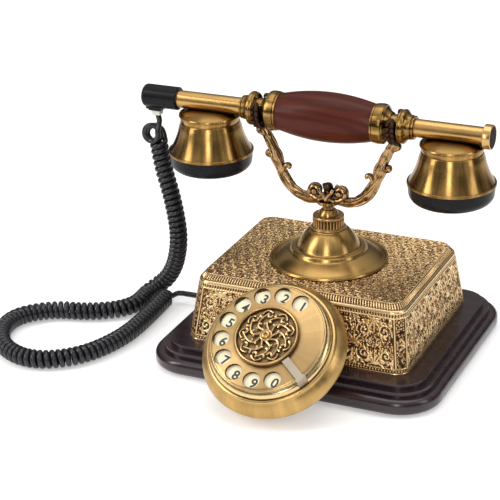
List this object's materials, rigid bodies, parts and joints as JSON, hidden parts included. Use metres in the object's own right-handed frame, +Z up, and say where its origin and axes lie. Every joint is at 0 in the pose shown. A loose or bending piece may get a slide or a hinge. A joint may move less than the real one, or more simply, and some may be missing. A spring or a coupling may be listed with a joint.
{
  "type": "cradle telephone",
  "caption": "Ornate cradle telephone: stepped wooden plinth, embossed brass body, rotary dial, scroll-armed cradle on a turned pedestal, handset with flared cups and a curly cord.",
  "frame": {"origin": "middle of the plinth's footprint on the surface the telephone stands on", "axes": "+X to the right along the front and along the handset, -Y towards the user and the dial, +Z up"},
  "size_m": [0.3432, 0.2236, 0.1833],
  "materials": {
    "dark_wood": "dark stained and varnished",
    "grip_wood": "red-brown varnished wood",
    "embossed_brass": "embossed, antique lacquer",
    "polished_brass": "polished, lightly aged",
    "antique_brass": "antique bronze lacquer",
    "pale_brass": "polished and plated",
    "black_plastic": "moulded black",
    "pale_plastic": "moulded off-white",
    "steel": "zinc plated",
    "spring_steel": "bright wire",
    "felt": "pressed wool felt",
    "cord_pvc": "glossy black sheath",
    "board_green": "epoxy glass board",
    "plate_ivory": "ivory enamel with black digits",
    "hard_fibre": "pressed board"
  },
  "bodies": {
    "base": {"plinth": "dark_wood", "base_plate": "hard_fibre", "felt_pad": "felt", "base_screws": "steel", "body_screws": "steel", "body_shell": "embossed_brass", "dome_pedestal": "polished_brass", "guide_bush": "antique_brass", "knurled_collar": "polished_brass", "collar_cap": "polished_brass", "hook_switch": "steel", "hook_spring": "spring_steel", "gong_left": "polished_brass", "gong_right": "polished_brass", "gong_posts": "steel", "ringer_coil": "steel", "circuit_board": "board_green", "cord_grommet": "black_plastic", "line_jack": "black_plastic", "dial_housing": "pale_brass", "dial_bezel": "pale_brass", "dial_back": "antique_brass", "dial_bracket": "antique_brass", "number_plate": "plate_ivory", "finger_stop": "pale_brass", "mechanism_frame": "steel", "pulse_contacts": "spring_steel", "cord_coil": "cord_pvc", "cord_tail_handset": "cord_pvc", "cord_tail_base": "cord_pvc"},
    "cradle": {"cradle_stem": "polished_brass", "cradle_saucer": "polished_brass", "cradle_hub": "antique_brass", "arm_left": "antique_brass", "arm_right": "antique_brass", "finial_bud": "antique_brass", "fork_left": "antique_brass", "fork_right": "antique_brass"},
    "handset": {"handset_tube": "antique_brass", "grip_wood": "grip_wood", "grip_collar_right": "polished_brass", "grip_collar_left": "polished_brass", "neck_bead_right": "polished_brass", "neck_bead_left": "polished_brass", "mouth_cup": "antique_brass", "mouth_cap": "black_plastic", "microphone_capsule": "steel", "ear_cup": "antique_brass", "ear_cap": "black_plastic", "receiver_capsule": "steel", "cord_cap": "black_plastic", "end_plug": "black_plastic", "cord_plug": "pale_plastic"},
    "dial_wheel": {"finger_wheel": "pale_brass", "wheel_rosette": "polished_brass", "rosette_screw": "pale_brass", "dial_shaft": "steel", "main_gear": "polished_brass"},
    "governor": {"governor_rotor": "steel"},
    "clapper": {"clapper": "steel"}
  },
  "joints": [
    {"name": "cradle_rise", "type": "slide", "parent": "base", "child": "cradle", "axis": [0, 0, 1], "range_m": [0, 0.0035], "stiffness_N_per_m": 300, "springref_m": 0.008, "deforming": ["hook_spring"]},
    {"name": "handset_lift", "type": "slide", "parent": "base", "child": "handset", "axis": [0, 0, 1], "range_m": [0, 0.06]},
    {"name": "dial_turn", "type": "hinge", "parent": "base", "child": "dial_wheel", "pos_m": [0, -0.10574, 0.05261], "axis": [0, -0.6013, 0.7991], "range_deg": [-330, 0], "stiffness_Nm_per_rad": 0.01, "springref_deg": 17.19},
    {"name": "governor_spin", "type": "hinge", "parent": "base", "child": "governor", "pos_m": [-0.01935, -0.09672, 0.04062], "axis": [0, -0.6013, 0.7991], "range_deg": [0, 990]},
    {"name": "clapper_swing", "type": "hinge", "parent": "base", "child": "clapper", "pos_m": [0, 0.028, 0.017], "axis": [0, 1, 0], "range_deg": [-6, 6]}
  ],
  "couplings": [
    {"joint": "cradle_rise", "follows": "handset_lift", "ratio": 0.058333},
    {"joint": "governor_spin", "follows": "dial_turn", "ratio": -3}
  ]
}
